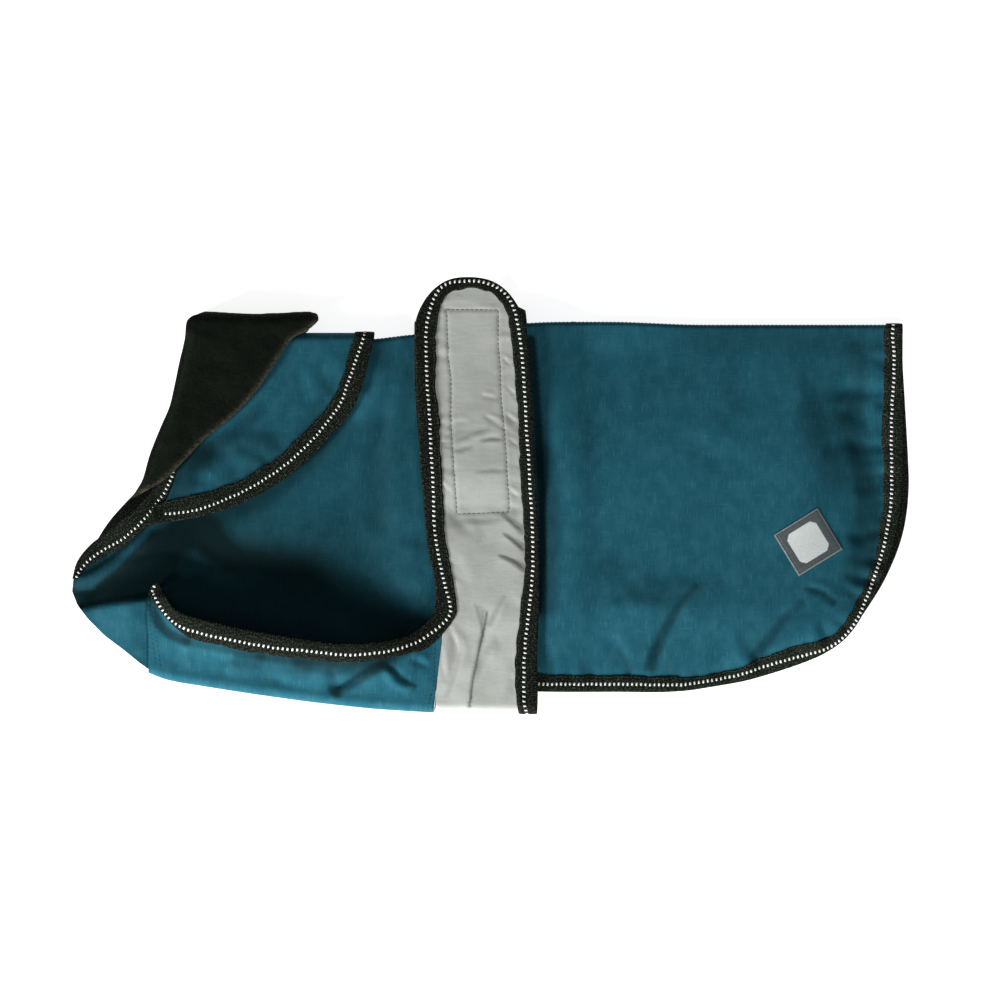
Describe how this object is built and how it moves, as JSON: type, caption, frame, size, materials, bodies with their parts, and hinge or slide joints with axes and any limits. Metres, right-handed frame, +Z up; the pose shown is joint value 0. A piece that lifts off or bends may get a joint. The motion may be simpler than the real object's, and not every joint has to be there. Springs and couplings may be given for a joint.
{
  "type": "dog winter coat",
  "caption": "Dog winter coat folded flat along its spine: bound teal shell, turned-down collar with black fleece, leg openings and a grey girth strap fastened over the back.",
  "frame": {"origin": "centre of the bounding box of the coat as it lies, on the surface it lies on", "axes": "+X from the neck to the tail, +Y from the belly fold to the spine, +Z up from the surface, the wearer's left side uppermost"},
  "size_m": [0.6361, 0.3323, 0.0276],
  "materials": {
    "teal_shell": "coated ripstop cloth, low sheen",
    "reflective_grey": "silver-grey reflective cloth, satin",
    "black_fleece": "brushed fleece, matt",
    "binding_tape": "ribbed black tape with a woven reflective ladder",
    "label_grey": "plain reflective patch"
  },
  "bodies": {
    "root": {"back_panel": "teal_shell", "chest_panel": "teal_shell", "shell_collar": "teal_shell", "girth_strap": "reflective_grey", "fleece_collar": "black_fleece", "fleece_neck": "black_fleece", "hem_binding": "binding_tape", "belly_binding": "binding_tape", "collar_binding": "binding_tape", "neck_binding_near": "binding_tape", "neck_binding_far": "binding_tape", "label": "label_grey"}
  },
  "joints": []
}
